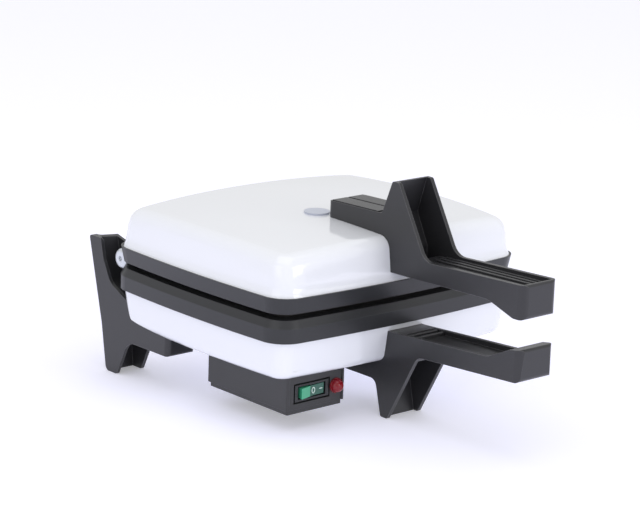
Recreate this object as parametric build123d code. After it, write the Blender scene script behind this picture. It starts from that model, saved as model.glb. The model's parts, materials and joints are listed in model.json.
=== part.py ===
from build123d import *
import os

# Body plan, millimetres; X is across, the handles point along -Y, Z is up from the floor
body_width = 260.0
body_depth = 219.0
side_bow = 4.2
front_bow = 6.0
corner_radius = 21.0
least_radius = 1.5

# Heights of the layers, stacked from the floor
foot_height = 44.0
shell_depth = 31.5
lower_band_height = 17.5
band_gap = 4.8
upper_band_height = 12.5
lid_rise = 36.0

# Sheet steel shells
shell_wall = 1.0
shell_inset = 3.0
shell_taper = 4.5
shell_edge_radius = 9.0
rim_depth = 4.0
lid_flare = 1.6
lid_flare_height = 3.5
lid_taper = 4.5
lid_edge_radius = 11.0
crown_radius = 2200.0

# Moulded bands
band_crease = 6.0
band_top_inset = 3.0
band_flare = 2.4
ledge_inset = 20.0

# Clearances
rim_fit = 0.1
seat_fit = 0.3
thread_fit = 0.03
running_fit = 0.06
plate_gap = 0.2

# Cast waffle plates
plate_inset = 14.0
plate_flange = 7.3
plate_body_inset = 21.0
plate_thickness = 18.2
pit_edge = 16.0
pit_end = 19.5
pit_web = 12.0
pit_depth = 12.0
pit_corner = 8.0
pit_draft = 12.0
peg_columns = 4
peg_rows = 6
peg_gap = 8.0
peg_height = 8.5
peg_draft = 14.0

# Tube heating elements
element_radius = 4.0
element_bend = 9.0
element_side_margin = 38.0
element_front_margin = 43.5
element_rear_margin = 47.5
tail_half_width = 24.0
tail_run = 21.0
tail_drop = 11.0
collar_radius = 5.0
collar_length = 7.0
tab_width = 6.3
tab_thickness = 0.8
tab_length = 7.0

# Posts, plate screws and heat shields
post_inset_x = 28.5
post_inset_y = 30.5
post_radius = 5.0
post_neck_radius = 3.5
screw_radius = 2.0
screw_head_radius = 4.0
screw_head_height = 2.4
screw_engagement = 9.0
shield_drop = 16.0
shield_sheet = 0.8
shield_inset = 19.0
shield_rim = 6.0

# Thermostat on the plate
thermostat_radius = 8.0
thermostat_height = 9.0
thermostat_flange = 11.0
thermostat_y = 8.0

# Hinge
hinge_inset = 2.0
hinge_side_inset = 24.5
ear_thickness = 6.5
ear_radius = 8.0
ear_gap = 0.3
ear_root = 12.0
ear_room = 0.6
hinge_shank_radius = 3.0
hinge_head_radius = 8.2
hinge_head_height = 3.6
hinge_head_round = 2.8
hinge_socket_radius = 2.3
hinge_socket_depth = 1.8
hinge_nut_radius = 5.6
hinge_nut_height = 4.5

# Rear legs
leg_side_inset = 10.0
leg_width = 28.0
leg_wall = 3.0
leg_web = 4.0
leg_rise = 13.4
leg_back = 34.0
leg_back_bend = 16.0
leg_back_foot = 9.5
leg_sole = 14.3
leg_top_width = 15.1
leg_neck_back = 15.0
leg_neck_drop = 3.4
leg_throat_back = 5.5
leg_throat_drop = 21.0
leg_arch_inset = 19.0
leg_bar_reach = 71.5
leg_bar_height = 13.5
leg_recess_reach = 20.0
leg_recess_rise = 14.0
leg_roof = 2.2
leg_corner = 4.5
leg_screw_reach = 61.5
leg_screw_spacing = 20.0
leg_clearance = 0.6
lid_opening = 84.0

# Lid handle
handle_width = 36.0
handle_wall = 3.2
handle_end_radius = 6.0
bar_reach = 79.0
bar_height = 13.0
horn_foot_reach = 16.0
horn_height = 42.0
horn_lean = 10.5
horn_tip = 7.0
horn_base_reach = 33.0
horn_web = 5.0
lid_grip_reach = 137.5
lid_grip_low = 7.0
lid_grip_rim = 23.0
lid_grip_rise = 5.0
lid_grip_depth = 18.0
lid_hook_reach = 36.0
lid_hook_flat = 10.0
lid_hook_depth = 8.5
trough_depth = 4.5
well_reach = 14.5
well_floor = 10.2
handle_screw_rise = 14.5
handle_screw_spacing = 9.5
handle_screw_length = 12.5

# Lower handle with its front foot
foot_arm_reach = 60.0
foot_arm_height = 15.5
foot_heel = 16.0
foot_sole_back = 8.5
foot_sole = 7.5
foot_hollow_rise = 8.5
foot_screw_inset = 12.0
foot_screw_spacing = 16.0
lower_grip_drop = 16.5
lower_grip_height = 13.5
lower_grip_reach = 137.5
lower_grip_tilt = 4.5
lower_grip_root = 30.0
lip_reach = 33.0
lip_crest = 12.0
lip_rise = 17.0
rib_reach = 13.0

# Control box
box_side_inset = 23.0
box_width = 58.0
box_setback = 17.0
box_length = 96.0
box_low = 18.0
box_wall = 2.5
box_corner = 1.5
cover_drop = 3.5
cover_inset = 1.5
cover_screw_reach = 50.0
cover_screw_engagement = 9.0
box_screw_engagement = 10.0
pillar_radius = 4.8
panel_thickness = 2.5
panel_recess = 0.8

# Rocker switch and pilot lamp
window_width = 36.5
window_height = 16.0
window_margin = 4.7
window_lift = 4.4
window_lap = 0.3
bezel_gap = 1.4
rocker_length = 26.0
rocker_height = 8.4
rocker_depth = 7.0
rocker_dip = 1.0
rocker_chamfer = 2.0
rocker_tilt = 9.0
rocker_clearance = 0.8
rocker_pin_radius = 1.2
rocker_pin_length = 1.2
switch_depth = 20.0
lamp_radius = 6.0
lamp_collar = 1.2
lamp_dome_inset = 0.4
lamp_margin = 8.6
lamp_body_radius = 4.2
lamp_flange = 0.8
lamp_body_depth = 22.0

# Mains entry, terminal block and leads
gland_radius = 6.5
gland_bore_radius = 3.4
gland_flange = 2.5
gland_length = 9.0
gland_lip = 2.0
block_width = 24.0
block_length = 17.0
block_height = 12.0
lead_radius = 1.3
lead_level = 3.5

# Plain disc on the lid
disc_radius = 10.3
disc_thickness = 1.2
disc_x = -17.0
disc_gap = 2.7

# Places worked out from the sizes
front = -body_depth / 2
rear = body_depth / 2
shell_low = foot_height
band_low = shell_low + shell_depth
band_top = band_low + lower_band_height
parting = band_top + band_gap / 2
upper_low = band_top + band_gap
upper_top = upper_low + upper_band_height
lid_top = upper_top + lid_rise
lower_rim = parting - plate_gap / 2
upper_rim = parting + plate_gap / 2
lower_plate_back = lower_rim - plate_thickness
upper_plate_back = upper_rim + plate_thickness
plate_half_width = body_width / 2 - plate_inset
plate_half_depth = body_depth / 2 - plate_inset
pit_width = plate_half_width - pit_edge - pit_web / 2
pit_length = 2 * (plate_half_depth - pit_end)
pit_x = (pit_web + pit_width) / 2
element_x = plate_half_width - element_side_margin
element_front = element_front_margin - plate_half_depth
element_rear = plate_half_depth - element_rear_margin
tail_y = element_rear + tail_run
tail_end = lower_plate_back - tail_drop
tab_low = tail_end - collar_length - tab_length
post_x = body_width / 2 - post_inset_x
post_y = body_depth / 2 - post_inset_y
shield_low = lower_plate_back - shield_drop
hinge_x = body_width / 2 - hinge_side_inset
hinge_y = rear - hinge_inset
hinge_z = parting
lower_ear_x = hinge_x + ear_gap / 2
upper_ear_x = hinge_x - ear_gap / 2 - ear_thickness
nut_x = upper_ear_x - ear_gap - hinge_nut_height
head_x = lower_ear_x + ear_thickness + hinge_head_height
leg_outer = body_width / 2 - leg_side_inset
leg_inner = leg_outer - leg_width
leg_middle = leg_outer - leg_width / 2
leg_low = shell_low - leg_bar_height
arm_low = shell_low - foot_arm_height
arm_back = front + foot_arm_reach
handle_half = handle_width / 2
trough_half = handle_half - handle_wall
bar_back = front + bar_reach
bar_top = lid_top + bar_height
lid_rim_z = upper_top + lid_grip_rim
lower_rim_z = band_low - lower_grip_drop + lower_grip_height
box_left = box_side_inset - body_width / 2
box_right = box_left + box_width
box_front = box_setback - body_depth / 2
box_back = box_front + box_length
box_middle = (box_left + box_right) / 2
panel_face = box_front + panel_recess
panel_back = panel_face + panel_thickness
switch_x = box_left + box_wall + window_margin + window_width / 2
switch_z = box_low + window_lift + window_height / 2
pivot_y = panel_face + rocker_pin_radius + rocker_dip
lamp_x = box_right - lamp_margin
gland_z = box_low + block_height
block_back = box_back - box_wall - block_length
block_front = block_back - block_length
block_middle = (block_front + block_back) / 2
block_top = box_low + block_height
lead_hole_radius = block_length / 2 - lead_radius
lead_bend = 2 * lead_radius
screw_seat = 2 * screw_head_height
disc_y = bar_back + disc_gap + disc_radius
body_y = (lid_grip_reach - leg_back) / 2

# Places of screws, seen from above
leg_screw_ys = [rear - leg_screw_reach, rear - leg_screw_reach + leg_screw_spacing]
leg_screws_xy = [(side * leg_middle, y) for side in (-1, 1) for y in leg_screw_ys]
foot_screw_y = arm_back - foot_screw_inset
foot_screws_xy = [(0, foot_screw_y), (0, foot_screw_y - foot_screw_spacing)]
box_screw_inset = box_wall + screw_head_radius
box_screw_xs = [box_left + box_screw_inset, box_right - box_screw_inset]
box_screw_ys = [box_front + cover_screw_reach, box_back - box_screw_inset]
box_screws_xy = [(x, y) for x in box_screw_xs for y in box_screw_ys]
posts_xy = [(x, y) for x in (-post_x, post_x) for y in (-post_y, post_y)]
tails_xy = [(-tail_half_width, tail_y), (tail_half_width, tail_y)]
thermostat_tabs_x = [-thermostat_radius / 2, thermostat_radius / 2]
handle_screw_z = upper_top + handle_screw_rise
handle_screw_zs = [handle_screw_z, handle_screw_z + handle_screw_spacing]


def outline(inset, z):
    """The body's bowed outline with round corners, drawn in all round."""
    half_w = body_width / 2 - inset
    half_d = body_depth / 2 - inset
    corner_x = half_w - side_bow
    corner_y = half_d - front_bow
    sides = [
        ThreePointArc((-corner_x, -corner_y), (0, -half_d), (corner_x, -corner_y)),
        ThreePointArc((corner_x, -corner_y), (half_w, 0), (corner_x, corner_y)),
        ThreePointArc((corner_x, corner_y), (0, half_d), (-corner_x, corner_y)),
        ThreePointArc((-corner_x, corner_y), (-half_w, 0), (-corner_x, -corner_y)),
    ]
    face = make_face(sides)
    radius = max(corner_radius - inset, least_radius)
    return Pos(0, 0, z) * fillet(face.vertices(), radius)


def stack(*sections):
    """Straight-sided solid through outlines given as (inset, z)."""
    return loft([outline(inset, z) for inset, z in sections], ruled=True)


def slab(inset, low, high):
    """Upright solid of the body's outline between two heights."""
    return extrude(outline(inset, low), high - low)


def rounded(corners):
    """Closed face through corners given as two places and a radius."""
    points = [(u, v) for u, v, radius in corners]
    radii = [radius for u, v, radius in corners]
    return make_face(FilletPolyline(*points, radius=radii, close=True))


def across(face, low_x, high_x):
    """Profile drawn in Y and Z, given a thickness along X."""
    return extrude(Plane.YZ.offset(low_x) * face, high_x - low_x)


def block(low, high):
    """Box between two corners."""
    size = [b - a for a, b in zip(low, high)]
    return Pos(*low) * Box(*size, align=(Align.MIN, Align.MIN, Align.MIN))


def rod(radius, low, high, x, y):
    """Upright cylinder between two heights."""
    align = (Align.CENTER, Align.CENTER, Align.MIN)
    return Pos(x, y, low) * Cylinder(radius, high - low, align=align)


def cross_rod(radius, low_x, high_x, y, z):
    """Cylinder along X between two places."""
    align = (Align.CENTER, Align.CENTER, Align.MIN)
    return Pos(low_x, y, z) * Rot(0, 90, 0) * Cylinder(radius, high_x - low_x, align=align)


def front_rod(radius, low_y, high_y, x, z):
    """Cylinder along Y between two places."""
    align = (Align.CENTER, Align.CENTER, Align.MIN)
    return Pos(x, low_y, z) * Rot(-90, 0, 0) * Cylinder(radius, high_y - low_y, align=align)


def tube(points, radius, bend):
    """Round bar along a path with a bend at each corner."""
    path = FilletPolyline(*points, radius=bend)
    return sweep((path ^ 0) * Circle(radius), path=path)


def both_sides(piece):
    """A right-hand piece and its mirror image."""
    return [piece, mirror(piece, about=Plane.YZ)]


def raised(piece):
    """The same piece in the lid, mirrored in the parting plane."""
    return mirror(piece, about=Plane.XY.offset(parting))


def as_opened(piece):
    """The piece turned with the lid to its open stop."""
    hinge_axis = Axis((0, hinge_y, hinge_z), (-1, 0, 0))
    return piece.rotate(hinge_axis, lid_opening)


# Shells

def lower_pan(extra):
    """Pressed pan, drawn in by extra on every side."""
    pan = stack(
        (shell_inset + shell_taper + extra, shell_low + extra),
        (shell_inset + extra, band_low),
        (shell_inset + extra, band_low + rim_depth),
    )
    edge = pan.faces().sort_by(Axis.Z)[0].edges()
    return fillet(edge, shell_edge_radius - extra)


def lid_dome(extra):
    """Domed lid, drawn in by extra on every side."""
    wall = stack(
        (lid_flare + extra, upper_top - rim_depth),
        (lid_flare + extra, upper_top),
        (2 * lid_flare + extra, upper_top + lid_flare_height),
        (2 * lid_flare + lid_taper + extra, lid_top + lid_flare_height),
    )
    crown = Pos(0, 0, lid_top - extra - crown_radius) * Sphere(crown_radius)
    dome = wall & crown
    edge = dome.faces().sort_by(Axis.Z)[-1].edges()
    return fillet(edge, lid_edge_radius - extra)


def lower_shell():
    shell = lower_pan(0) - lower_pan(shell_wall)
    shell -= slab(shell_inset + shell_wall, band_low, band_low + rim_depth + rim_fit)
    for x, y in leg_screws_xy + foot_screws_xy + box_screws_xy:
        shell -= rod(screw_radius + thread_fit, shell_low, band_low, x, y)
    return shell - rod(lead_hole_radius, shell_low, band_low, box_middle, block_middle)


def lid_shell():
    shell = lid_dome(0) - lid_dome(shell_wall)
    shell -= slab(lid_flare + shell_wall, upper_top - rim_depth - rim_fit, upper_top)
    for z in handle_screw_zs:
        shell -= front_rod(screw_radius + thread_fit, front, front / 2, 0, z)
    return shell


# Bands

def rim_groove(inset, low, high):
    """Groove that takes a shell's rim."""
    outer = slab(inset - rim_fit, low, high)
    return outer - slab(inset + shell_wall + rim_fit, low, high)


def ear(x, root_low, root_high):
    """Hinge ear behind the body, bored for the hinge screw."""
    lug = cross_rod(ear_radius, x, x + ear_thickness, hinge_y, hinge_z)
    lug += block((x, hinge_y - ear_root, root_low), (x + ear_thickness, hinge_y, root_high))
    bore = cross_rod(hinge_shank_radius + running_fit, x, x + ear_thickness, hinge_y, hinge_z)
    return lug - bore


def ear_space(low_x, high_x):
    """Room for the other half's ear, nut or screw head to turn in."""
    return cross_rod(ear_radius + ear_room, low_x, high_x, hinge_y, hinge_z)


def lower_band():
    outer = stack((0, band_low), (0, band_top - band_crease), (band_top_inset, band_top))
    band = outer - slab(ledge_inset, band_low, band_top)
    band -= slab(plate_inset - rim_fit, lower_rim - plate_flange, band_top)
    band -= rim_groove(shell_inset, band_low, band_low + rim_depth + rim_fit)
    band -= both_sides(ear_space(nut_x - ear_gap, lower_ear_x))
    band -= both_sides(ear_space(lower_ear_x + ear_thickness, body_width / 2))
    return band + both_sides(ear(lower_ear_x, lower_rim - plate_flange, hinge_z))


def upper_band():
    outer = stack((band_flare, upper_low), (0, upper_top))
    band = outer - slab(ledge_inset, upper_low, upper_top)
    band -= slab(plate_inset - rim_fit, upper_low, upper_rim + plate_flange)
    band -= rim_groove(lid_flare, upper_top - rim_depth - rim_fit, upper_top)
    band -= both_sides(ear_space(nut_x - ear_gap, upper_ear_x))
    band -= both_sides(ear_space(lower_ear_x - ear_gap, body_width / 2))
    return band + both_sides(ear(upper_ear_x, hinge_z, upper_rim + plate_flange))


# Waffle plates and what heats them

def pegs(middle_x):
    """Tapered pegs that press the pockets into one waffle."""
    pitch_x = pit_width / peg_columns
    pitch_y = pit_length / peg_rows
    foot = Rectangle(pitch_x - peg_gap, pitch_y - peg_gap)
    grid = GridLocations(pitch_x, pitch_y, peg_columns, peg_rows)
    floor = Pos(middle_x, 0, lower_rim - pit_depth)
    return [extrude(floor * place * foot, peg_height, taper=peg_draft) for place in grid]


def pit(middle_x):
    """Hollow for one waffle, wider at its mouth."""
    mouth = Pos(middle_x, 0, lower_rim) * RectangleRounded(pit_width, pit_length, pit_corner)
    return extrude(mouth, -pit_depth, taper=pit_draft)


def screw_cone(x, y):
    """Countersink in the plate's face."""
    align = (Align.CENTER, Align.CENTER, Align.MAX)
    cone = Cone(screw_radius, screw_head_radius, screw_head_height, align=align)
    return Pos(x, y, lower_rim) * cone


def plate_screw(x, y):
    """Countersunk screw from the plate's face into its post."""
    half_slot = screw_head_height / 6
    slot = block(
        (x - screw_head_radius, y - half_slot, lower_rim - 2 * half_slot),
        (x + screw_head_radius, y + half_slot, lower_rim))
    shank = rod(screw_radius, lower_plate_back - screw_engagement, lower_rim, x, y)
    return shank + screw_cone(x, y) - slot


def element_path():
    """Centre line of the heating tube, tail to tail, on the plate's back."""
    z = lower_plate_back
    half = [
        (tail_half_width, tail_y, tail_end),
        (tail_half_width, tail_y, z),
        (tail_half_width, element_rear, z),
        (element_x, element_rear, z),
        (element_x, element_front, z),
    ]
    return half + [(-x, y, height) for x, y, height in reversed(half)]


def lower_waffle_plate():
    plate = slab(plate_inset, lower_rim - plate_flange, lower_rim)
    plate += slab(plate_body_inset, lower_plate_back, lower_rim - plate_flange)
    for middle_x in (-pit_x, pit_x):
        plate -= pit(middle_x)
        plate += pegs(middle_x)
    plate -= tube(element_path(), element_radius + running_fit, element_bend)
    for x, y in posts_xy:
        plate -= rod(screw_radius + thread_fit, lower_plate_back, lower_rim, x, y)
        plate -= screw_cone(x, y)
    return plate


def lower_heating_element():
    return tube(element_path(), element_radius, element_bend)


def lower_element_collars():
    """Ceramic collars on the tails."""
    return [rod(collar_radius, tail_end - collar_length, tail_end, x, y) for x, y in tails_xy]


def lower_element_tabs():
    """Push-on terminals below the collars."""
    high = tail_end - collar_length
    half_w = tab_width / 2
    half_t = tab_thickness / 2
    return [
        block((x - half_w, y - half_t, tab_low), (x + half_w, y + half_t, high))
        for x, y in tails_xy]


def lower_plate_screws():
    return [plate_screw(x, y) for x, y in posts_xy]


def post_bore(x, y):
    """Threaded hole in a post's end."""
    low = lower_plate_back - screw_engagement - screw_radius
    return rod(screw_radius + thread_fit, low, lower_plate_back, x, y)


def lower_posts():
    """Shouldered posts that carry the plate and the heat shield."""
    posts = []
    for x, y in posts_xy:
        post = rod(post_radius, shell_low + shell_wall, shield_low, x, y)
        post += rod(post_neck_radius, shield_low, lower_plate_back, x, y)
        posts.append(post - post_bore(x, y))
    return posts


def upper_posts():
    shoulder = upper_plate_back + shield_drop
    inside = lid_dome(shell_wall)
    posts = []
    for x, y in posts_xy:
        post = rod(post_radius, shoulder, lid_top, x, y) & inside
        post += rod(post_neck_radius, upper_plate_back, shoulder, x, y)
        posts.append(post - raised(post_bore(x, y)))
    return posts


def lower_heat_shield():
    """Bent tray under the heating tube, resting on the posts' shoulders."""
    floor = shield_low + shield_sheet
    shield = slab(shield_inset, shield_low, shield_low + shield_rim)
    shield -= slab(shield_inset + shield_sheet, floor, shield_low + shield_rim)
    for x, y in posts_xy:
        shield -= rod(post_neck_radius + rim_fit, shield_low, floor, x, y)
    for x, y in tails_xy:
        shield -= rod(collar_radius + shield_sheet, shield_low, floor, x, y)
    for x in thermostat_tabs_x:
        shield -= rod(2 * lead_radius, shield_low, floor, x, thermostat_y)
    return shield


def thermostat():
    low = lower_plate_back - thermostat_height
    body = rod(thermostat_radius, low, lower_plate_back, 0, thermostat_y)
    flange_low = lower_plate_back - shield_sheet
    return body + rod(thermostat_flange, flange_low, lower_plate_back, 0, thermostat_y)


# Hinge hardware

def hinge_screws():
    """Socket-head screws with domed heads, one at each rear corner."""
    face = lower_ear_x + ear_thickness
    shank = cross_rod(hinge_shank_radius, nut_x, face, hinge_y, hinge_z)
    head = cross_rod(hinge_head_radius, face, head_x, hinge_y, hinge_z)
    head = fillet(head.edges().sort_by(Axis.X)[-1], hinge_head_round)
    socket = Pos(hinge_y, hinge_z) * RegularPolygon(hinge_socket_radius, 6)
    return both_sides(shank + head - across(socket, head_x - hinge_socket_depth, head_x))


def hinge_nuts():
    high_x = nut_x + hinge_nut_height
    nut = across(Pos(hinge_y, hinge_z) * RegularPolygon(hinge_nut_radius, 6), nut_x, high_x)
    bore = cross_rod(hinge_shank_radius + thread_fit, nut_x, high_x, hinge_y, hinge_z)
    return both_sides(nut - bore)


# Rear legs

def leg_profile():
    """Side outline: foot, arch, bar, throat behind the pan and raised back."""
    back = rear + leg_back
    corners = [
        (rear - leg_bar_reach, leg_low, 2),
        (rear - leg_bar_reach, shell_low + shell_edge_radius, 0),
        (rear - 2 * leg_throat_drop, shell_low + shell_edge_radius, 0),
        (rear + leg_throat_back, hinge_z - leg_throat_drop, 14),
        (rear + leg_neck_back, hinge_z - leg_neck_drop, 14),
        (back - leg_top_width, hinge_z + leg_rise, 1),
        (back, hinge_z + leg_rise, 2),
        (rear + leg_back_bend, shell_low - leg_throat_back, 40),
        (rear + leg_back_foot, 0, 5),
        (rear + leg_back_foot - leg_sole, 0, 2),
        (rear - leg_arch_inset, leg_low, 14),
    ]
    return rounded(corners)


def leg_recess():
    """Side outline of the channel behind the hinge."""
    top = hinge_z + leg_rise - leg_roof
    corners = [
        (rear - leg_recess_reach, top, 0),
        (rear - leg_recess_reach, shell_low + leg_recess_rise, 0),
        (rear, shell_low + leg_recess_rise, 14),
        (rear + leg_back_bend + leg_web, band_low - 2 * leg_web, 16),
        (rear + leg_back - leg_web, top, 0),
    ]
    return rounded(corners)


def foot_recess():
    """Side outline of the hollow in the foot, open to the front."""
    heel = rear + leg_back_foot - leg_web
    sole = rear - leg_arch_inset
    corners = [
        (sole, -leg_web, 0),
        (heel, -leg_web, 0),
        (heel + leg_web, leg_low, 4),
        (heel - leg_web, leg_low + leg_web, 3),
        (sole - leg_width, leg_low + leg_web, 0),
    ]
    return rounded(corners)


def leg_plan():
    """Leg seen from above, its two front corners rounded."""
    near = rear - leg_bar_reach
    far = rear + leg_back
    return rounded([
        (leg_inner, near, leg_corner),
        (leg_outer, near, leg_corner),
        (leg_outer, far, 0),
        (leg_inner, far, 0),
    ])


def right_rear_leg():
    """Moulded leg: foot, bar under the pan and a channel behind the hinge."""
    leg = across(leg_profile(), leg_inner, leg_outer) & extrude(leg_plan(), lid_top)
    low_x = leg_inner + leg_wall
    high_x = leg_outer - leg_wall
    leg -= across(leg_recess(), low_x, high_x)
    leg -= across(foot_recess(), low_x, high_x)
    for y in leg_screw_ys:
        leg -= screw_bore(leg_middle, y, leg_low)
    return leg - lower_pan(0) - as_opened(lid_dome(-leg_clearance))


def left_rear_leg():
    return mirror(right_rear_leg(), about=Plane.YZ)


# Screws that hold the legs and the foot to the pan

def screw_bore(x, y, low):
    """Counterbored hole from below."""
    bore = rod(screw_head_radius + seat_fit, low, low + screw_seat, x, y)
    return bore + rod(screw_radius + thread_fit, low, shell_low + shell_wall, x, y)


def mounting_screw(x, y, low):
    """Pan-head screw from below, up through the pan and its nut."""
    seat = low + screw_seat
    head = rod(screw_head_radius, seat - screw_head_height, seat, x, y)
    return head + rod(screw_radius, seat, shell_low + shell_wall + screw_head_height, x, y)


def rear_leg_screws():
    return [mounting_screw(x, y, leg_low) for x, y in leg_screws_xy]


def foot_screws():
    return [mounting_screw(x, y, arm_low) for x, y in foot_screws_xy]


def mounting_nuts():
    """Nuts on the pan's floor."""
    low = shell_low + shell_wall
    nuts = []
    for x, y in leg_screws_xy + foot_screws_xy:
        nut = extrude(Pos(x, y, low) * RegularPolygon(screw_head_radius, 6), screw_head_height)
        nuts.append(nut - rod(screw_radius + thread_fit, low, band_low, x, y))
    return nuts


# Handles

def handle_plan(back):
    """Plan of a handle, rounded at both ends."""
    length = back - (front - lid_grip_reach)
    middle = Pos(0, back - length / 2)
    return middle * RectangleRounded(handle_width, length, handle_end_radius)


def handle_block(corners, back):
    """Handle's side outline, rounded in plan as well."""
    face = rounded(corners)
    return across(face, -handle_half, handle_half) & extrude(handle_plan(back), 2 * lid_top)


def carve(handle, corners):
    """Take the hollow between a handle's side walls."""
    face = rounded(corners)
    return handle - across(face, -trough_half, trough_half)


def lid_handle():
    """Bar on the lid, upright horn and grip in one hollow moulding."""
    end = front - lid_grip_reach
    rim = lid_rim_z
    low = upper_top + lid_grip_low
    end_rim = rim + lid_grip_rise
    underside = end_rim - lid_grip_depth
    hook = underside - lid_hook_depth
    horn_foot = front + horn_foot_reach
    horn_back = horn_foot - horn_lean
    horn_top = lid_top + horn_height
    handle = handle_block([
        (bar_back, lid_top - lid_edge_radius, 0),
        (bar_back, bar_top, 3),
        (horn_foot, bar_top + 2, 4),
        (horn_back, horn_top, 2),
        (horn_back - horn_tip, horn_top, 2.5),
        (front - horn_base_reach, rim, 14),
        (end, end_rim, 2),
        (end, hook, 3),
        (end + lid_hook_flat, hook, 6),
        (end + lid_hook_reach, underside, 24),
        (front - handle_wall, low, 1.5),
        (front + lid_edge_radius, low, 0),
    ], bar_back)
    handle = carve(handle, [
        (horn_back - handle_wall, 2 * lid_top, 0),
        (horn_back - handle_wall, horn_top, 0),
        (horn_foot - horn_web, bar_top, 6),
        (front - handle_wall / 2, lid_top - lid_edge_radius, 8),
        (front - handle_wall / 2, rim - trough_depth, 0),
        (end + handle_wall, end_rim - trough_depth, 2),
        (end + handle_wall, 2 * lid_top, 0),
    ])
    well = upper_top + well_floor
    handle -= block(
        (-trough_half, front - well_reach, well),
        (trough_half, front - handle_wall / 2, rim))
    for z in handle_screw_zs:
        handle -= front_rod(screw_radius + thread_fit, front - 2 * handle_wall, front / 2, 0, z)
    return handle - lid_dome(0)


def lid_handle_screws():
    """Screws from the horn's hollow through the lid's front wall."""
    face = front - handle_wall / 2
    screws = []
    for z in handle_screw_zs:
        head = front_rod(screw_head_radius, face - screw_head_height, face, 0, z)
        screws.append(head + front_rod(screw_radius, face, face + handle_screw_length, 0, z))
    return screws


def lid_handle_nuts():
    """Nuts on the inner face of the lid's front wall."""
    high = front - handle_wall / 2 + handle_screw_length
    inside = lid_dome(shell_wall)
    nuts = []
    for z in handle_screw_zs:
        nut = front_rod(screw_head_radius, front, high, 0, z) & inside
        nuts.append(nut - front_rod(screw_radius + thread_fit, front, high, 0, z))
    return nuts


def lower_handle():
    """Arm under the pan, front foot and grip with a raised lip."""
    end = front - lower_grip_reach
    rim = lower_rim_z
    low = rim - lower_grip_height - lower_grip_tilt / 3
    sole_back = front + foot_sole_back
    hollow = shell_low + foot_hollow_rise
    handle = handle_block([
        (arm_back, arm_low, 2),
        (arm_back, shell_low + shell_edge_radius, 0),
        (front + lid_edge_radius, rim - 2, 0),
        (front, rim - 2, 1),
        (end + lip_reach, rim + lower_grip_tilt, 16),
        (end + lip_crest, rim + lip_rise - 2, 5),
        (end, rim + lip_rise, 2),
        (end + 1, low + lower_grip_tilt + 2, 4),
        (front - lower_grip_root, low, 10),
        (sole_back - foot_sole, 0, 2),
        (sole_back, 0, 2),
        (front + foot_heel, arm_low, 7),
    ], arm_back)
    handle = carve(handle, [
        (front - rib_reach, 2 * rim, 0),
        (front - rib_reach, rim - trough_depth, 0),
        (end + lip_reach, rim + lower_grip_tilt - trough_depth, 12),
        (end + lip_crest, rim + lip_rise - trough_depth, 0),
        (end + lip_crest, 2 * rim, 0),
    ])
    handle = carve(handle, [
        (sole_back - leg_web, -leg_web, 0),
        (front + foot_heel - leg_web, arm_low, 4),
        (front + handle_wall, shell_low, 3),
        (front - handle_wall, hollow, 3),
        (front - lower_grip_root - leg_web, hollow + 1, 0),
        (front - lower_grip_root - leg_web, -leg_web, 0),
    ])
    for x, y in foot_screws_xy:
        handle -= screw_bore(x, y, arm_low)
    return handle - lower_pan(0)


# Control box

def control_box():
    """Housing open at its front and bottom, cut to the pan above."""
    top = shell_low + shell_edge_radius
    box = block((box_left, box_front, box_low), (box_right, box_back, top))
    box = fillet(box.edges().filter_by(Axis.Z), box_corner)
    box -= block(
        (box_left + box_wall, box_front, box_low),
        (box_right - box_wall, box_back - box_wall, top))
    for x, y in box_screws_xy:
        box += rod(pillar_radius, box_low, top, x, y)
    for x, y in box_screws_xy:
        box -= rod(screw_radius + thread_fit, box_low, top, x, y)
    box -= front_rod(gland_radius + rim_fit, box_back - box_wall, box_back, box_middle, gland_z)
    return box - lower_pan(0)


def control_panel():
    """Front panel with a window for the switch and a hole for the lamp."""
    top = shell_low + shell_edge_radius
    panel = block((box_left + box_wall, panel_face, box_low), (box_right - box_wall, panel_back, top))
    half_w = window_width / 2
    half_h = window_height / 2
    panel -= block(
        (switch_x - half_w, panel_face, switch_z - half_h),
        (switch_x + half_w, panel_back, switch_z + half_h))
    panel -= front_rod(lamp_body_radius + rim_fit, panel_face, panel_back, lamp_x, switch_z)
    return panel - lower_pan(0)


def box_cover():
    """Bottom cover, a little smaller than the box."""
    low = box_low - cover_drop
    cover = block(
        (box_left + cover_inset, box_front + cover_inset, low),
        (box_right - cover_inset, box_back - cover_inset, box_low))
    cover = fillet(cover.edges().filter_by(Axis.Z), box_corner)
    for x, y in box_screws_xy:
        cover -= rod(screw_radius + thread_fit, low, box_low, x, y)
        cover -= rod(screw_head_radius + rim_fit, low, low + screw_head_height, x, y)
    return cover


def cover_screws():
    low = box_low - cover_drop
    screws = []
    for x, y in box_screws_xy:
        head = rod(screw_head_radius, low, low + screw_head_height, x, y)
        screws.append(head + rod(screw_radius, low, box_low + cover_screw_engagement, x, y))
    return screws


def box_screws():
    """Screws from inside the pan down into the box's pillars."""
    seat = shell_low + shell_wall
    screws = []
    for x, y in box_screws_xy:
        head = rod(screw_head_radius, seat, seat + screw_head_height, x, y)
        screws.append(head + rod(screw_radius, shell_low - box_screw_engagement, seat, x, y))
    return screws


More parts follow.
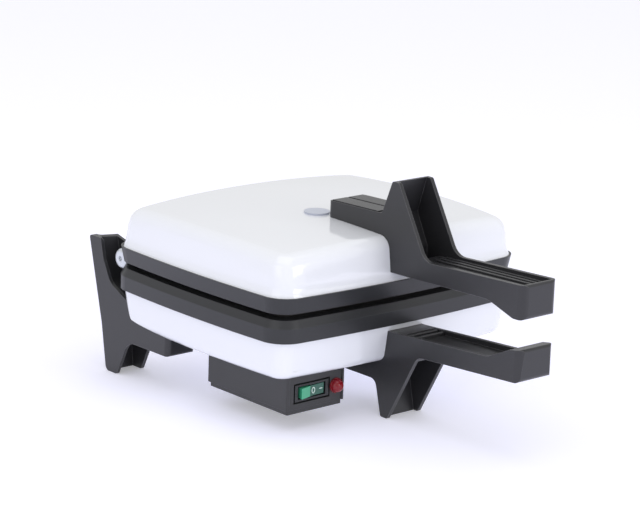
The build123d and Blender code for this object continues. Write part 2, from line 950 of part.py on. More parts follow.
def switch_body():
    """Bezel flush in the window on a body clipped behind the panel."""
    half_w = window_width / 2
    half_h = window_height / 2
    body = block(
        (switch_x - half_w + bezel_gap, panel_face, switch_z - half_h + bezel_gap),
        (switch_x + half_w - bezel_gap, panel_back, switch_z + half_h - bezel_gap))
    body += block(
        (switch_x - half_w - window_lap, panel_back, switch_z - half_h - window_lap),
        (switch_x + half_w + window_lap, panel_back + switch_depth, switch_z + half_h + window_lap))
    well_w = rocker_length / 2 + rocker_clearance
    well_h = rocker_height / 2 + rocker_clearance
    body -= block(
        (switch_x - well_w, panel_face, switch_z - well_h),
        (switch_x + well_w, panel_face + rocker_depth + 2 * rocker_dip, switch_z + well_h))
    reach = rocker_height / 2 + rocker_pin_length + rocker_clearance
    pin_bore = rocker_pin_radius + running_fit
    return body - rod(pin_bore, switch_z - reach, switch_z + reach, switch_x, pivot_y)


def switch_rocker():
    """Rocker on two pins, at rest with its left end raised."""
    half = rocker_length / 2
    face_y = rocker_dip + rocker_pin_radius
    back_y = rocker_depth / 2
    profile = rounded([
        (-half, -face_y - rocker_dip, 0.5),
        (0, -face_y, 0),
        (half, -face_y - rocker_dip, 0.5),
        (half - rocker_chamfer, back_y, 1),
        (rocker_chamfer - half, back_y, 1),
    ])
    body = Pos(0, 0, -rocker_height / 2) * extrude(profile, rocker_height)
    reach = rocker_height / 2 + rocker_pin_length
    body += rod(rocker_pin_radius, -reach, reach, 0, 0)
    return Pos(switch_x, pivot_y, switch_z) * Rot(0, 0, rocker_tilt) * body


def lamp_lens():
    """Domed lens with a collar on the panel."""
    rim = panel_face - lamp_collar
    dome_radius = lamp_radius - lamp_dome_inset
    collar = front_rod(lamp_radius, rim, panel_face, lamp_x, switch_z)
    dome = Pos(lamp_x, rim, switch_z) * Sphere(dome_radius)
    return collar + (dome & front_rod(lamp_radius, rim - dome_radius, rim, lamp_x, switch_z))


def lamp_body():
    body = front_rod(lamp_body_radius, panel_face, panel_face + lamp_body_depth, lamp_x, switch_z)
    flange = front_rod(
        lamp_body_radius + lamp_flange, panel_back, panel_back + panel_thickness, lamp_x, switch_z)
    return body + flange


# Mains entry, terminal block and leads

def cord_gland():
    """Entry bush in the box's back wall."""
    inside = box_back - box_wall
    lip = gland_radius + gland_lip
    spout = gland_bore_radius + gland_lip
    end = box_back + gland_length
    bush = front_rod(gland_radius, inside, box_back, box_middle, gland_z)
    bush += front_rod(lip, box_back, box_back + gland_flange, box_middle, gland_z)
    bush += front_rod(lip, inside - gland_lip, inside, box_middle, gland_z)
    bush += front_rod(spout, box_back + gland_flange, end, box_middle, gland_z)
    return bush - front_rod(gland_bore_radius, inside - gland_lip, end, box_middle, gland_z)


def terminal_block():
    half = block_width / 2
    return block((box_middle - half, block_front, box_low), (box_middle + half, block_back, block_top))


def switch_leads():
    """Straight leads from the block to the switch."""
    low_y = panel_back + switch_depth
    z = box_low + block_height / 2
    xs = (switch_x - block_width / 4, switch_x + block_width / 4)
    return [front_rod(lead_radius, low_y, block_front, x, z) for x in xs]


def lamp_leads():
    """Bent leads from the block to the lamp."""
    low_y = panel_face + lamp_body_depth
    start_x = box_middle + block_width / 2 - 2 * lead_radius
    leads = []
    for offset in (-1.5 * lead_radius, 1.5 * lead_radius):
        z = switch_z + offset
        near = (lamp_x, low_y, z)
        turn = (lamp_x, low_y + 2 * lead_bend, z)
        far = (start_x, block_front - 2 * lead_bend, z - block_height / 2)
        leads.append(tube([near, turn, far, (far[0], block_front, far[2])], lead_radius, lead_bend))
    return leads


def element_leads():
    """Sleeved leads from the block through the pan to the element and thermostat."""
    level = shell_low + shell_wall + lead_level
    thermostat_low = lower_plate_back - thermostat_height
    left_x = box_middle - 2 * lead_radius
    right_x = box_middle + 2 * lead_radius
    near_x, far_x = thermostat_tabs_x
    to_left_tail = [
        (left_x, block_middle, block_top),
        (left_x, block_middle, level),
        (left_x, tail_y, level),
        (-tail_half_width, tail_y, level),
        (-tail_half_width, tail_y, tab_low),
    ]
    to_thermostat = [
        (right_x, block_middle, block_top),
        (right_x, block_middle, level),
        (near_x, block_middle, level),
        (near_x, thermostat_y, level),
        (near_x, thermostat_y, thermostat_low),
    ]
    to_right_tail = [
        (far_x, thermostat_y, thermostat_low),
        (far_x, thermostat_y, level),
        (tail_half_width, thermostat_y, level),
        (tail_half_width, tail_y, level),
        (tail_half_width, tail_y, tab_low),
    ]
    runs = (to_left_tail, to_thermostat, to_right_tail)
    return [tube(run, lead_radius, lead_bend) for run in runs]


def lid_disc():
    """Plain disc lying on the lid."""
    disc = rod(disc_radius, lid_top - lid_edge_radius, lid_top + disc_thickness, disc_x, disc_y)
    return disc - lid_dome(0)


base_pieces = [
    lower_shell, lower_band, lower_waffle_plate, lower_heating_element, lower_element_collars,
    lower_element_tabs, lower_plate_screws, lower_posts, lower_heat_shield, thermostat,
    left_rear_leg, right_rear_leg, rear_leg_screws, lower_handle, foot_screws, mounting_nuts,
    hinge_screws, hinge_nuts, control_box, control_panel, box_cover, cover_screws, box_screws,
    switch_body, switch_rocker, lamp_lens, lamp_body, cord_gland, terminal_block,
    switch_leads, lamp_leads, element_leads,
]
lid_pieces = [lid_shell, upper_band, upper_posts, lid_handle, lid_handle_screws, lid_handle_nuts, lid_disc]
twinned = [
    lower_waffle_plate, lower_heating_element, lower_element_collars, lower_element_tabs,
    lower_plate_screws, lower_heat_shield,
]


def solids_of(made):
    """All solids of a piece, or of a list of pieces."""
    pieces = made if isinstance(made, list) else [made]
    return [solid for piece in pieces for solid in piece.solids()]


parts = {make.__name__: solids_of(make()) for make in base_pieces + lid_pieces}
for make in twinned:
    twin = make.__name__.replace("lower", "upper")
    parts[twin] = [raised(solid) for solid in parts[make.__name__]]

os.makedirs("parts", exist_ok=True)
for name, solids in parts.items():
    placed = [Pos(0, body_y, 0) * solid for solid in solids]
    export_step(placed[0] if len(placed) == 1 else Compound(placed), f"parts/{name}.step")
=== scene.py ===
import json
import math

import bmesh
import bpy
from mathutils import Matrix, Vector


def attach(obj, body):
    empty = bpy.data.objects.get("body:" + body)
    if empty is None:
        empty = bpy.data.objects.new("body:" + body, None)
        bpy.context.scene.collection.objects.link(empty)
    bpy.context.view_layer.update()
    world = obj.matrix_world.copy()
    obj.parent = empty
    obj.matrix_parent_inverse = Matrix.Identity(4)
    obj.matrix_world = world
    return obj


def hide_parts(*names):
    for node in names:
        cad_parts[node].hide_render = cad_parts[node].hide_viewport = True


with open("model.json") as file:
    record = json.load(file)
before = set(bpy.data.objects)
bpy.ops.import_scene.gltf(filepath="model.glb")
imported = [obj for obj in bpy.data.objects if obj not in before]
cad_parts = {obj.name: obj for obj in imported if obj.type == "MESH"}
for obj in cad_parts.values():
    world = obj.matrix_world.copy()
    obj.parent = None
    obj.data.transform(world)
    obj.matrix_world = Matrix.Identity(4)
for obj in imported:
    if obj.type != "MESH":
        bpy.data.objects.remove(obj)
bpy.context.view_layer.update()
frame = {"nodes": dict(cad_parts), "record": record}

MM = 0.001

# Sizes repeated from the model, millimetres, before its shift along Y
body_width = 260.0
body_depth = 219.0
side_bow = 4.2
front_bow = 6.0
corner_radius = 21.0
body_y = 51.75
upper_top = 110.3
lid_top = 146.3
lid_flare = 1.6
lid_flare_height = 3.5
lid_taper = 4.5
lid_edge_radius = 11.0
crown_radius = 2200.0
rim_depth = 4.0
shell_wall = 1.0

# The scene's own shape of the lid's skin
corner_drop = 3.0
edge_reach_share = 0.88
edge_curve_share = 0.52
edge_taper_share = 0.9
edge_drop = 5.0
rim_step = 0.4
flare_ease_in = 0.3
flare_ease_down = 0.6
edge_steps = 12
dome_steps = 24

# Handles: bar and troughs as in the model, and their raised details
bar_rear = -30.5
bar_front = -93.5
bar_top = 159.3
bar_rise = 2.0
strip_width = 15.0
strip_pitch = 17.0
strip_height = 0.8
strip_rear_gap = 4.5
strip_front_gap = 5.5
strip_inner_edge = 1.8
strip_rounding = 0.3
lid_trough_rear = -111.1
lid_trough_end = -243.8
lid_trough_low = 128.8
lid_trough_rise = 5.0
ridge_width = 2.4
ridge_pitch = 6.0
ridge_height = 1.6
ridge_count = 3
ridge_rear_gap = 24.0
ridge_end_gap = 2.5
ridge_side_gap = 0.4
ridge_sink = 0.5
ridge_rounding = 0.5
lower_trough_floor = 68.0
lower_rib_rear = -124.5
lower_rib_width = 3.0
lower_rib_pitch = 7.0
lower_rib_height = 3.4
lower_rib_sink = 0.4
lower_rib_rounding = 0.7
trough_half = 14.8

# Rocker as in the model; the start of its painted shade past the raised end, and its marks
rocker_x = -81.55
rocker_y = -89.5
rocker_z = 30.4
rocker_tilt = 9.0
rocker_half = 13.0
rocker_face = 2.2
rocker_dip = 1.0
rocker_painted_shade_start = -2.5
mark_depth = 0.12
off_mark_x = 1.2
off_mark_outer = (1.9, 2.6)
off_mark_inner = (1.05, 1.75)
on_mark_x = 9.5
on_mark_size = (2.1, 0.5)

# Camera, fitted to the photograph
image_width = 640
image_height = 516
focal_pixels = 2491.7
principal_x = 335.46
principal_y = 254.0
azimuth = 0.7334
elevation = 0.2540
roll = 0.0370
distance = 2005.4
aim_right = 15.96
aim_up = 29.43
aim_height = 75.57

scene = bpy.context.scene
nodes = frame["nodes"]


def place(x, y, z):
    """A point of the model in millimetres, in the scene's metres."""
    return Vector((x, y + body_y, z)) * MM


def make_camera():
    """Camera at the photograph's viewing angle."""
    sin_a, cos_a = math.sin(azimuth), math.cos(azimuth)
    level_part = math.cos(elevation)
    forward = Vector((sin_a * level_part, cos_a * level_part, -math.sin(elevation)))
    level = Vector((cos_a, -sin_a, 0))
    upright = level.cross(forward)
    right = math.cos(roll) * level + math.sin(roll) * upright
    up = math.cos(roll) * upright - math.sin(roll) * level
    spot = place(0, 0, aim_height) + (right * aim_right + up * aim_up - forward * distance) * MM
    data = bpy.data.cameras.new("camera")
    data.sensor_width = 36.0
    data.lens = data.sensor_width * focal_pixels / image_width
    data.shift_x = (image_width / 2 - principal_x) / image_width
    data.shift_y = (principal_y - image_height / 2) / image_width
    data.clip_end = 100
    camera = bpy.data.objects.new("camera", data)
    turn = Matrix((right, up, -forward)).transposed().to_4x4()
    camera.matrix_world = Matrix.Translation(spot) @ turn
    scene.collection.objects.link(camera)
    scene.camera = camera


# Shader groups

def new_group(name, inputs, outputs):
    """Empty shader group with named sockets."""
    group = bpy.data.node_groups.new(name, "ShaderNodeTree")
    for label, kind, value in inputs:
        socket = group.interface.new_socket(label, in_out="INPUT", socket_type=kind)
        if value is not None:
            socket.default_value = value
    for label, kind in outputs:
        group.interface.new_socket(label, in_out="OUTPUT", socket_type=kind)
    return group, group.nodes.new("NodeGroupInput"), group.nodes.new("NodeGroupOutput")


def math_node(tree, operation, first, second, clamp=False):
    """Math node with each input linked or set."""
    node = tree.nodes.new("ShaderNodeMath")
    node.operation = operation
    node.use_clamp = clamp
    for socket, value in zip(node.inputs, (first, second)):
        if isinstance(value, bpy.types.NodeSocket):
            tree.links.new(value, socket)
        else:
            socket.default_value = value
    return node.outputs[0]


def noise(tree, scale, detail):
    """Noise on the piece's own coordinates."""
    coordinates = tree.nodes.new("ShaderNodeTexCoord")
    node = tree.nodes.new("ShaderNodeTexNoise")
    node.inputs["Detail"].default_value = detail
    tree.links.new(coordinates.outputs["Object"], node.inputs["Vector"])
    if isinstance(scale, bpy.types.NodeSocket):
        tree.links.new(scale, node.inputs["Scale"])
    else:
        node.inputs["Scale"].default_value = scale
    return node.outputs["Fac"]


def edge_wear_and_highlight_group():
    """Mask of the outer edges, broken up by noise: edge wear, and partly a painted highlight along
    the edges.
    """
    group, entry, leave = new_group(
        "edge_wear_and_highlight",
        [("Width", "NodeSocketFloat", 0.0006), ("Breakup", "NodeSocketFloat", 160.0)],
        [("Mask", "NodeSocketFloat"), ("Soft Normal", "NodeSocketVector")])
    bevel = group.nodes.new("ShaderNodeBevel")
    bevel.samples = 6
    group.links.new(entry.outputs["Width"], bevel.inputs["Radius"])
    geometry = group.nodes.new("ShaderNodeNewGeometry")
    dot = group.nodes.new("ShaderNodeVectorMath")
    dot.operation = "DOT_PRODUCT"
    group.links.new(bevel.outputs[0], dot.inputs[0])
    group.links.new(geometry.outputs["Normal"], dot.inputs[1])
    turned = math_node(group, "SUBTRACT", 1.0, dot.outputs["Value"])
    strong = math_node(group, "MULTIPLY", turned, 5.0, True)
    broken = noise(group, entry.outputs["Breakup"], 3.0)
    lifted = math_node(group, "ADD", broken, 0.25, True)
    group.links.new(math_node(group, "MULTIPLY", strong, lifted), leave.inputs["Mask"])
    group.links.new(bevel.outputs[0], leave.inputs["Soft Normal"])
    return group


def grain_group():
    """Fine moulded or sprayed grain: a height and a slow tone change."""
    group, entry, leave = new_group(
        "surface_grain",
        [("Scale", "NodeSocketFloat", 2500.0), ("Patch Scale", "NodeSocketFloat", 14.0)],
        [("Height", "NodeSocketFloat"), ("Patches", "NodeSocketFloat")])
    group.links.new(noise(group, entry.outputs["Scale"], 2.0), leave.inputs["Height"])
    group.links.new(noise(group, entry.outputs["Patch Scale"], 3.0), leave.inputs["Patches"])
    return group


EDGE_WEAR_AND_HIGHLIGHT = edge_wear_and_highlight_group()
GRAIN = grain_group()


def linear(red, green, blue):
    """Screen colour from 0 to 255, in Blender's linear colour."""
    def channel(value):
        part = value / 255
        return part / 12.92 if part <= 0.04045 else ((part + 0.055) / 1.055) ** 2.4
    return (channel(red), channel(green), channel(blue), 1.0)


def finish_material(name, colour, worn_and_lit_colour, roughness, vary=0.06, grain=2500.0, relief=0.02,
                    wear_and_highlight=0.5, edge=0.0006, metallic=0.0, coat=0.0, specular=0.5):
    """Material with grain, slow tone and gloss changes and worn edges, lightened partly as a
    painted edge highlight.
    """
    material = bpy.data.materials.new(name)
    material.use_nodes = True
    tree = material.node_tree
    shader = tree.nodes["Principled BSDF"]
    shader.inputs["Metallic"].default_value = metallic
    shader.inputs["Coat Weight"].default_value = coat
    shader.inputs["Coat Roughness"].default_value = 0.04
    shader.inputs["Specular IOR Level"].default_value = specular
    worn_and_lit_edge = tree.nodes.new("ShaderNodeGroup")
    worn_and_lit_edge.node_tree = EDGE_WEAR_AND_HIGHLIGHT
    worn_and_lit_edge.inputs["Width"].default_value = edge
    surface = tree.nodes.new("ShaderNodeGroup")
    surface.node_tree = GRAIN
    surface.inputs["Scale"].default_value = grain
    tones = tree.nodes.new("ShaderNodeMix")
    tones.data_type = "RGBA"
    tones.inputs[6].default_value = [c * (1 - vary) for c in colour[:3]] + [1.0]
    tones.inputs[7].default_value = [min(1.0, c * (1 + vary)) for c in colour[:3]] + [1.0]
    tree.links.new(surface.outputs["Patches"], tones.inputs[0])
    edges = tree.nodes.new("ShaderNodeMix")
    edges.data_type = "RGBA"
    # lighter edge colour: partly wear, partly a painted highlight on the edges
    edges.inputs[7].default_value = worn_and_lit_colour
    amount = math_node(tree, "MULTIPLY", worn_and_lit_edge.outputs["Mask"], wear_and_highlight)
    tree.links.new(amount, edges.inputs[0])
    tree.links.new(tones.outputs[2], edges.inputs[6])
    tree.links.new(edges.outputs[2], shader.inputs["Base Color"])
    gloss = math_node(tree, "MULTIPLY", surface.outputs["Patches"], roughness * 0.3)
    tree.links.new(math_node(tree, "ADD", gloss, roughness * 0.85), shader.inputs["Roughness"])
    bump = tree.nodes.new("ShaderNodeBump")
    bump.inputs["Strength"].default_value = relief
    bump.inputs["Distance"].default_value = 0.0003
    tree.links.new(surface.outputs["Height"], bump.inputs["Height"])
    tree.links.new(worn_and_lit_edge.outputs["Soft Normal"], bump.inputs["Normal"])
    tree.links.new(bump.outputs["Normal"], shader.inputs["Normal"])
    return material


def rocker_material():
    """Green moulding, its raised end lit and the rest under the marks a darker green as painted
    shade.
    """
    material = finish_material(
        "green_rocker", linear(66, 172, 130), linear(150, 214, 184), 0.18, vary=0.1, wear_and_highlight=0.4,
        edge=0.0004, coat=0.4)
    tree = material.node_tree
    shader = tree.nodes["Principled BSDF"]
    coordinates = tree.nodes.new("ShaderNodeTexCoord")
    place_on_it = tree.nodes.new("ShaderNodeSeparateXYZ")
    tree.links.new(coordinates.outputs["Object"], place_on_it.inputs[0])
    past = math_node(
        tree, "SUBTRACT", place_on_it.outputs["X"], (rocker_x + rocker_painted_shade_start) * MM)
    # darker green past the raised end: painted shade
    painted_shade = tree.nodes.new("ShaderNodeMix")
    painted_shade.data_type = "RGBA"
    painted_shade.inputs[7].default_value = linear(34, 92, 76)
    tree.links.new(math_node(tree, "MULTIPLY", past, 3000.0, True), painted_shade.inputs[0])
    tree.links.new(shader.inputs["Base Color"].links[0].from_socket, painted_shade.inputs[6])
    tree.links.new(painted_shade.outputs[2], shader.inputs["Base Color"])
    return material


def red_lens_material():
    """Deep red moulded lens."""
    material = finish_material(
        "red_lens", linear(158, 16, 34), linear(220, 90, 100), 0.1, vary=0.15, wear_and_highlight=0.3, relief=0.0)
    shader = material.node_tree.nodes["Principled BSDF"]
    shader.inputs["Transmission Weight"].default_value = 0.35
    return material


MATERIALS = {
    "white_enamel": finish_material(
        "white_enamel", linear(238, 240, 246), linear(244, 245, 248), 0.12,
        vary=0.004, grain=900.0, relief=0.01, wear_and_highlight=0.1, coat=0.6),
    "band_moulding": finish_material(
        "band_moulding", linear(40, 41, 44), linear(112, 112, 117), 0.34, relief=0.12, wear_and_highlight=0.35),
    # the handles' light edge colour is mostly a painted highlight on the rims
    "handle_moulding": finish_material(
        "handle_moulding", linear(46, 46, 49), linear(150, 150, 154), 0.34, relief=0.14, wear_and_highlight=0.75),
    "box_moulding": finish_material(
        "box_moulding", linear(50, 50, 52), linear(112, 112, 116), 0.42, relief=0.14, wear_and_highlight=0.35),
    "cast_plate": finish_material(
        "cast_plate", linear(52, 50, 48), linear(110, 106, 102), 0.45,
        vary=0.12, grain=1400.0, relief=0.3, wear_and_highlight=0.4, metallic=0.4),
    "element_tube": finish_material(
        "element_tube", linear(112, 106, 100), linear(150, 146, 140), 0.4, metallic=1.0),
    "ceramic": finish_material("ceramic", linear(236, 231, 220), linear(245, 242, 236), 0.25),
    "terminal_plastic": finish_material(
        "terminal_plastic", linear(214, 208, 194), linear(230, 226, 214), 0.45),
    "brass_tab": finish_material(
        "brass_tab", linear(190, 158, 92), linear(220, 194, 130), 0.3, metallic=1.0),
    "zinc_steel": finish_material(
        "zinc_steel", linear(186, 188, 192), linear(214, 216, 220), 0.32, vary=0.1, metallic=1.0),
    "hinge_silver": finish_material(
        "hinge_silver", linear(214, 218, 224), linear(240, 242, 245), 0.3, metallic=0.6),
    "disc_grey": finish_material(
        "disc_grey", linear(192, 197, 212), linear(216, 219, 230), 0.3, vary=0.03),
    "green_rocker": rocker_material(),
    "switch_plastic": finish_material(
        "switch_plastic", linear(40, 41, 43), linear(88, 88, 92), 0.25, wear_and_highlight=0.3),
    "red_lens": red_lens_material(),
    "gland_rubber": finish_material("gland_rubber", linear(36, 36, 36), linear(70, 70, 70), 0.6),
    "lead_sleeve": finish_material(
        "lead_sleeve", linear(228, 222, 206), linear(238, 234, 222), 0.7, grain=1800.0, relief=0.5),
    "printed_mark": finish_material(
        "printed_mark", linear(214, 236, 226), linear(230, 244, 238), 0.4, wear_and_highlight=0.1),
}


# Meshes

def link_piece(name, verts, faces, material):
    """New object at the origin from vertices in metres."""
    mesh = bpy.data.meshes.new(name)
    mesh.from_pydata(verts, [], faces)
    work = bmesh.new()
    work.from_mesh(mesh)
    bmesh.ops.remove_doubles(work, verts=work.verts, dist=1e-6)
    bmesh.ops.recalc_face_normals(work, faces=work.faces)
    work.to_mesh(mesh)
    work.free()
    for polygon in mesh.polygons:
        polygon.use_smooth = True
    mesh.materials.append(material)
    piece = bpy.data.objects.new(name, mesh)
    scene.collection.objects.link(piece)
    return piece


def apply_modifiers(piece):
    """Turn the evaluated piece into a plain mesh."""
    graph = bpy.context.evaluated_depsgraph_get()
    finished = bpy.data.meshes.new_from_object(piece.evaluated_get(graph))
    piece.modifiers.clear()
    piece.data = finished


def arc_through(start, middle, end):
    """Centre, radius, start angle and span of the arc through three points."""
    (ax, ay), (bx, by), (cx, cy) = start, middle, end
    d = 2 * (ax * (by - cy) + bx * (cy - ay) + cx * (ay - by))
    a2, b2, c2 = ax * ax + ay * ay, bx * bx + by * by, cx * cx + cy * cy
    ux = (a2 * (by - cy) + b2 * (cy - ay) + c2 * (ay - by)) / d
    uy = (a2 * (cx - bx) + b2 * (ax - cx) + c2 * (bx - ax)) / d
    radius = math.hypot(ax - ux, ay - uy)
    low = math.atan2(ay - uy, ax - ux)
    span = (math.atan2(cy - uy, cx - ux) - low + math.pi) % (2 * math.pi) - math.pi
    return (ux, uy), radius, low, span


def outline(inset, side_count=28, corner_count=12):
    """The body's bowed outline with round corners, drawn in by inset."""
    half_w, half_d = body_width / 2 - inset, body_depth / 2 - inset
    corner_x, corner_y = half_w - side_bow, half_d - front_bow
    radius = max(corner_radius - inset, 1.5)
    corners = [(corner_x, -corner_y), (corner_x, corner_y),
               (-corner_x, corner_y), (-corner_x, -corner_y)]
    middles = [(half_w, 0), (0, half_d), (-half_w, 0), (0, -half_d)]
    sides = [arc_through(corners[i], middles[i], corners[(i + 1) % 4]) for i in range(4)]
    centres = []
    for index in range(4):
        (ax, ay), ar, _, _ = sides[index - 1]
        (bx, by), br, _, _ = sides[index]
        ra, rb = ar - radius, br - radius
        gap = math.hypot(bx - ax, by - ay)
        along = (ra * ra - rb * rb + gap * gap) / (2 * gap)
        off = math.sqrt(ra * ra - along * along)
        ex, ey = (bx - ax) / gap, (by - ay) / gap
        options = [(ax + ex * along - s * ey * off, ay + ey * along + s * ex * off)
                   for s in (-1, 1)]
        target = corners[index]
        centres.append(min(options, key=lambda p: math.hypot(p[0] - target[0], p[1] - target[1])))
    points = []
    for index in range(4):
        (ax, ay), _, _, _ = sides[index - 1]
        (bx, by), br, _, _ = sides[index]
        cx, cy = centres[index]
        start = math.atan2(cy - ay, cx - ax)
        end = math.atan2(cy - by, cx - bx)
        turn = (end - start + math.pi) % (2 * math.pi) - math.pi
        for step in range(corner_count):
            angle = start + turn * step / corner_count
            points.append((cx + radius * math.cos(angle), cy + radius * math.sin(angle)))
        nx, ny = centres[(index + 1) % 4]
        low = math.atan2(cy - by, cx - bx)
        span = (math.atan2(ny - by, nx - bx) - low + math.pi) % (2 * math.pi) - math.pi
        for step in range(side_count):
            angle = low + span * step / side_count
            points.append((bx + br * math.cos(angle), by + br * math.sin(angle)))
    return points


def ring_mesh(name, rings, material):
    """Skin through rings of points, the last one closed to its middle."""
    verts = [place(*point) for ring in rings for point in ring]
    count = len(rings[0])
    faces = []
    for row in range(len(rings) - 1):
        for column in range(count):
            beside = (column + 1) % count
            faces.append((
                row * count + column, row * count + beside,
                (row + 1) * count + beside, (row + 1) * count + column))
    last = rings[-1]
    middle = [sum(p[axis] for p in last) / count for axis in range(3)]
    verts.append(place(*middle))
    for column in range(count):
        base = (len(rings) - 1) * count
        faces.append((base + column, base + (column + 1) % count, len(verts) - 1))
    return link_piece(name, verts, faces, material)


def round_over(wall, top, handle, share):
    """Point on the rounded edge between a wall point and a top point."""
    (w, w_way), (t, t_way) = wall, top
    a, b = w + w_way * handle, t - t_way * handle
    rest = 1 - share
    return (rest ** 3 * w + 3 * rest * rest * share * a
            + 3 * rest * share * share * b + share ** 3 * t)


def crown_z(x, y):
    """Height of the domed top, which falls off a little more at its corners."""
    dome = lid_top - crown_radius + math.sqrt(crown_radius ** 2 - x * x - y * y)
    return dome - corner_drop * abs(4 * x * y / (body_width * body_depth)) ** 3


def lid_rings():
    """Rim, flare, wall, rounded edge and dome of the lid."""
    low = upper_top - rim_depth
    flare_top = upper_top + lid_flare_height
    wall_height = lid_top - upper_top
    slope = lid_taper / wall_height
    reach = lid_edge_radius * edge_reach_share
    rings = [[(x, y, z) for x, y in outline(inset)] for inset, z in (
        (lid_flare, low), (lid_flare, upper_top - rim_step), (lid_flare, upper_top),
        (2 * lid_flare - flare_ease_in, flare_top - flare_ease_down),
        (2 * lid_flare, flare_top))]
    foot = outline(2 * lid_flare)
    edge_inset = 2 * lid_flare + lid_taper * edge_taper_share
    corner = outline(edge_inset)
    inner = outline(edge_inset + reach)
    wall_z = lid_top - edge_drop - reach
    for share in (0.25, 0.5, 0.75):
        z = flare_top + (wall_z - flare_top) * share
        rings.append([(x, y, z) for x, y in outline(2 * lid_flare + slope * (z - flare_top))])
    handle = lid_edge_radius * edge_curve_share
    for step in range(edge_steps + 1):
        share = step / edge_steps
        ring = []
        for (fx, fy), (cx, cy), (ix, iy) in zip(foot, corner, inner):
            edge = Vector((cx, cy, crown_z(cx, cy)))
            top = Vector((ix, iy, crown_z(ix, iy)))
            way_up = (edge - Vector((fx, fy, flare_top))).normalized()
            way_in = (top - edge).normalized()
            wall = edge - way_up * reach
            ring.append(tuple(round_over((wall, way_up), (top, way_in), handle, share)))
        rings.append(ring)
    for step in range(1, dome_steps):
        scale = 1 - step / dome_steps
        rings.append([(x * scale, y * scale, crown_z(x * scale, y * scale)) for x, y in inner])
    return rings


def make_lid():
    """Smooth sheet lid that stands for the lid's shell."""
    lid = ring_mesh("smooth_lid", lid_rings(), MATERIALS["white_enamel"])
    wall = lid.modifiers.new("wall", "SOLIDIFY")
    wall.thickness = shell_wall * MM
    wall.offset = -1.0
    apply_modifiers(lid)
    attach(lid, "lid")
    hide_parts("lid_shell")


def side_prism(name, corners, low_x, high_x, material):
    """Bar along X with the given outline in Y and Z."""
    count = len(corners)
    verts = [place(x, y, z) for x in (low_x, high_x) for y, z in corners]
    faces = [(i, (i + 1) % count, count + (i + 1) % count, count + i) for i in range(count)]
    faces.append(tuple(range(count)))
    faces.append(tuple(range(count, 2 * count)))
    bar = link_piece(name, verts, faces, material)
    for polygon in bar.data.polygons:
        polygon.use_smooth = False
    return bar


def dress_nodes():
    """Give every carried-over node its finish."""
    slots = {entry["node"]: entry["material_slot"] for entry in frame["record"]["subparts"]}
    for name, node in nodes.items():
        material = MATERIALS[slots[name]]
        if not node.data.materials:
            node.data.materials.append(material)
        for index in range(len(node.data.materials)):
            node.data.materials[index] = material


# Repeated details, made with Geometry Nodes

def repeat_tree(name):
    """The piece's own bar repeated in a row, from named inputs."""
    tree = bpy.data.node_groups.new(name, "GeometryNodeTree")
    for label, kind in (("Geometry", "NodeSocketGeometry"), ("Step", "NodeSocketVector"),
                        ("Count", "NodeSocketInt"), ("Finish", "NodeSocketMaterial")):
        tree.interface.new_socket(label, in_out="INPUT", socket_type=kind)
    tree.interface.new_socket("Geometry", in_out="OUTPUT", socket_type="NodeSocketGeometry")
    entry, leave = tree.nodes.new("NodeGroupInput"), tree.nodes.new("NodeGroupOutput")
    row = tree.nodes.new("GeometryNodeMeshLine")
    spread = tree.nodes.new("GeometryNodeInstanceOnPoints")
    real = tree.nodes.new("GeometryNodeRealizeInstances")
    paint = tree.nodes.new("GeometryNodeSetMaterial")
    links = tree.links
    links.new(entry.outputs["Count"], row.inputs["Count"])
    links.new(entry.outputs["Step"], row.inputs["Offset"])
    links.new(row.outputs["Mesh"], spread.inputs["Points"])
    links.new(entry.outputs["Geometry"], spread.inputs["Instance"])
    links.new(spread.outputs["Instances"], real.inputs["Geometry"])
    links.new(real.outputs["Geometry"], paint.inputs["Geometry"])
    links.new(entry.outputs["Finish"], paint.inputs["Material"])
    links.new(paint.outputs["Geometry"], leave.inputs["Geometry"])
    return tree


def repeat_bar(bar, step, count, slot, body, soften):
    """Round the bar's edges, repeat it in a row and let it ride."""
    rounding = bar.modifiers.new("rounding", "BEVEL")
    rounding.width = soften * MM
    rounding.segments = 2
    modifier = bar.modifiers.new("row", "NODES")
    modifier.node_group = ROW
    values = {"Step": [v * MM for v in step], "Count": count, "Finish": MATERIALS[slot]}
    for item in ROW.interface.items_tree:
        if item.item_type == "SOCKET" and item.in_out == "INPUT" and item.name in values:
            modifier[item.identifier] = values[item.name]
    apply_modifiers(bar)
    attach(bar, body)


ROW = repeat_tree("bars_in_a_row")


def make_bar_strips():
    """Two long raised strips on the handle bar's top, with a groove between."""
    def top(y):
        return bar_top + bar_rise * (bar_rear - y) / (bar_rear - bar_front)
    rear_y, front_y = bar_rear - strip_rear_gap, bar_front + strip_front_gap
    low_x = -strip_width - strip_inner_edge
    strip = side_prism("bar_top_strips", [
        (rear_y, top(rear_y) - strip_height), (rear_y, top(rear_y) + strip_height),
        (front_y, top(front_y) + strip_height), (front_y, top(front_y) - strip_height)],
        low_x, low_x + strip_width, MATERIALS["handle_moulding"])
    repeat_bar(strip, (strip_pitch, 0, 0), 2, "handle_moulding", "lid", strip_rounding)


def make_grip_ridges():
    """Three long ridges on the far part of the lid grip's trough floor."""
    def floor_z(y):
        share = (lid_trough_rear - y) / (lid_trough_rear - lid_trough_end)
        return lid_trough_low + lid_trough_rise * share
    rear_y, end_y = lid_trough_rear - ridge_rear_gap, lid_trough_end + ridge_end_gap
    low_x = trough_half - ridge_width - ridge_side_gap - (ridge_count - 1) * ridge_pitch
    ridge = side_prism("grip_ridges", [
        (rear_y, floor_z(rear_y) - ridge_sink), (rear_y, floor_z(rear_y) + ridge_height),
        (end_y, floor_z(end_y) + ridge_height), (end_y, floor_z(end_y) - ridge_sink)],
        low_x, low_x + ridge_width, MATERIALS["handle_moulding"])
    repeat_bar(
        ridge, (ridge_pitch, 0, 0), ridge_count, "handle_moulding", "lid", ridge_rounding)


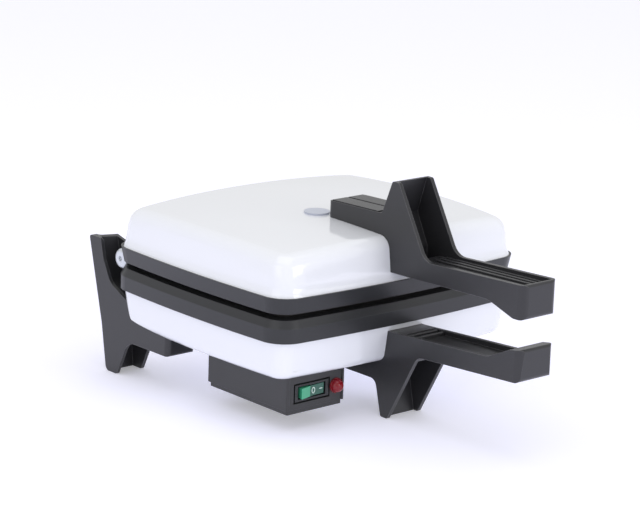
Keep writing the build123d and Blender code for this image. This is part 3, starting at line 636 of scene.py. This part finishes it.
def make_lower_ribs():
    """Two cross ribs at the rear end of the lower grip's trough."""
    low = lower_trough_floor - lower_rib_sink
    high = lower_trough_floor + lower_rib_height
    rib = side_prism("lower_grip_ribs", [
        (lower_rib_rear, low), (lower_rib_rear, high),
        (lower_rib_rear - lower_rib_width, high), (lower_rib_rear - lower_rib_width, low)],
        -trough_half, trough_half, MATERIALS["handle_moulding"])
    repeat_bar(rib, (0, -lower_rib_pitch, 0), 2, "handle_moulding", "base", lower_rib_rounding)


def on_rocker(x, out, up):
    """Point on the rocker's right half, a little way out of its face."""
    y = -rocker_face - rocker_dip * x / rocker_half - out
    turn = math.radians(rocker_tilt)
    turned_x = x * math.cos(turn) - y * math.sin(turn)
    turned_y = x * math.sin(turn) + y * math.cos(turn)
    return place(rocker_x + turned_x, rocker_y + turned_y, rocker_z + up)


def make_mark(name, loops):
    """Thin printed mark: one loop is filled, a second one leaves its middle open."""
    count = len(loops[0])
    verts = [on_rocker(x, out, up) for out in (mark_depth, -mark_depth) for loop in loops
             for x, up in loop]
    if len(loops) == 2:
        faces, walls = [], ((0, 1), (1, 3), (3, 2), (2, 0))
    else:
        faces, walls = [tuple(range(count)), tuple(range(count, 2 * count))], ((0, 1),)
    for i in range(count):
        j = (i + 1) % count
        for a, b in walls:
            faces.append((a * count + i, a * count + j, b * count + j, b * count + i))
    mark = link_piece(name, verts, faces, MATERIALS["printed_mark"])
    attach(mark, "rocker")


def loop_of(middle, half_width, half_height, count=28):
    """Points on an ellipse."""
    return [(middle + half_width * math.cos(2 * math.pi * i / count),
             half_height * math.sin(2 * math.pi * i / count)) for i in range(count)]


def make_marks():
    """Round off mark and straight on mark, both turned with the switch."""
    make_mark("off_mark", [
        loop_of(off_mark_x, *off_mark_outer), loop_of(off_mark_x, *off_mark_inner)])
    make_mark("on_mark", [loop_of(on_mark_x, *on_mark_size)])


def floor_and_light():
    """Plain pale floor and soft studio light."""
    size = 12.0
    floor = link_piece(
        "studio_floor",
        [(-size, -size, 0), (size, -size, 0), (size, size, 0), (-size, size, 0)],
        [(0, 1, 2, 3)], bpy.data.materials.new("studio_floor"))
    material = floor.data.materials[0]
    material.use_nodes = True
    shader = material.node_tree.nodes["Principled BSDF"]
    shader.inputs["Base Color"].default_value = linear(232, 232, 252)
    shader.inputs["Roughness"].default_value = 0.7
    shader.inputs["Specular IOR Level"].default_value = 0.1
    shader.inputs["Emission Color"].default_value = (1.0, 1.0, 1.0, 1.0)
    shader.inputs["Emission Strength"].default_value = 0.3
    world = bpy.data.worlds.new("studio")
    scene.world = world
    world.use_nodes = True
    tree = world.node_tree
    background = tree.nodes["Background"]
    path = tree.nodes.new("ShaderNodeLightPath")
    strength = tree.nodes.new("ShaderNodeMapRange")
    strength.inputs["To Min"].default_value = 0.76
    strength.inputs["To Max"].default_value = 1.1
    tree.links.new(path.outputs["Is Camera Ray"], strength.inputs["Value"])
    tree.links.new(strength.outputs["Result"], background.inputs["Strength"])
    background.inputs["Color"].default_value = (1.0, 1.0, 1.0, 1.0)
    target = place(0, 0, 80)
    lamps = (
        ("top_light", (-0.2, -0.1, 1.7), 1.6, 6.0),
        ("left_light", (-1.6, -0.3, 0.8), 1.1, 2.5),
        ("front_light", (0.5, -2.0, 0.7), 0.9, 7.0))
    for name, spot, width, power in lamps:
        data = bpy.data.lights.new(name, "AREA")
        data.shape = "SQUARE"
        data.size = width
        data.energy = power
        lamp = bpy.data.objects.new(name, data)
        lamp.location = spot
        lamp.rotation_euler = (target - Vector(spot)).to_track_quat("-Z", "Y").to_euler()
        scene.collection.objects.link(lamp)


make_camera()
floor_and_light()
scene.view_settings.view_transform = "Standard"
dress_nodes()
make_lid()
make_bar_strips()
make_grip_ridges()
make_lower_ribs()
make_marks()
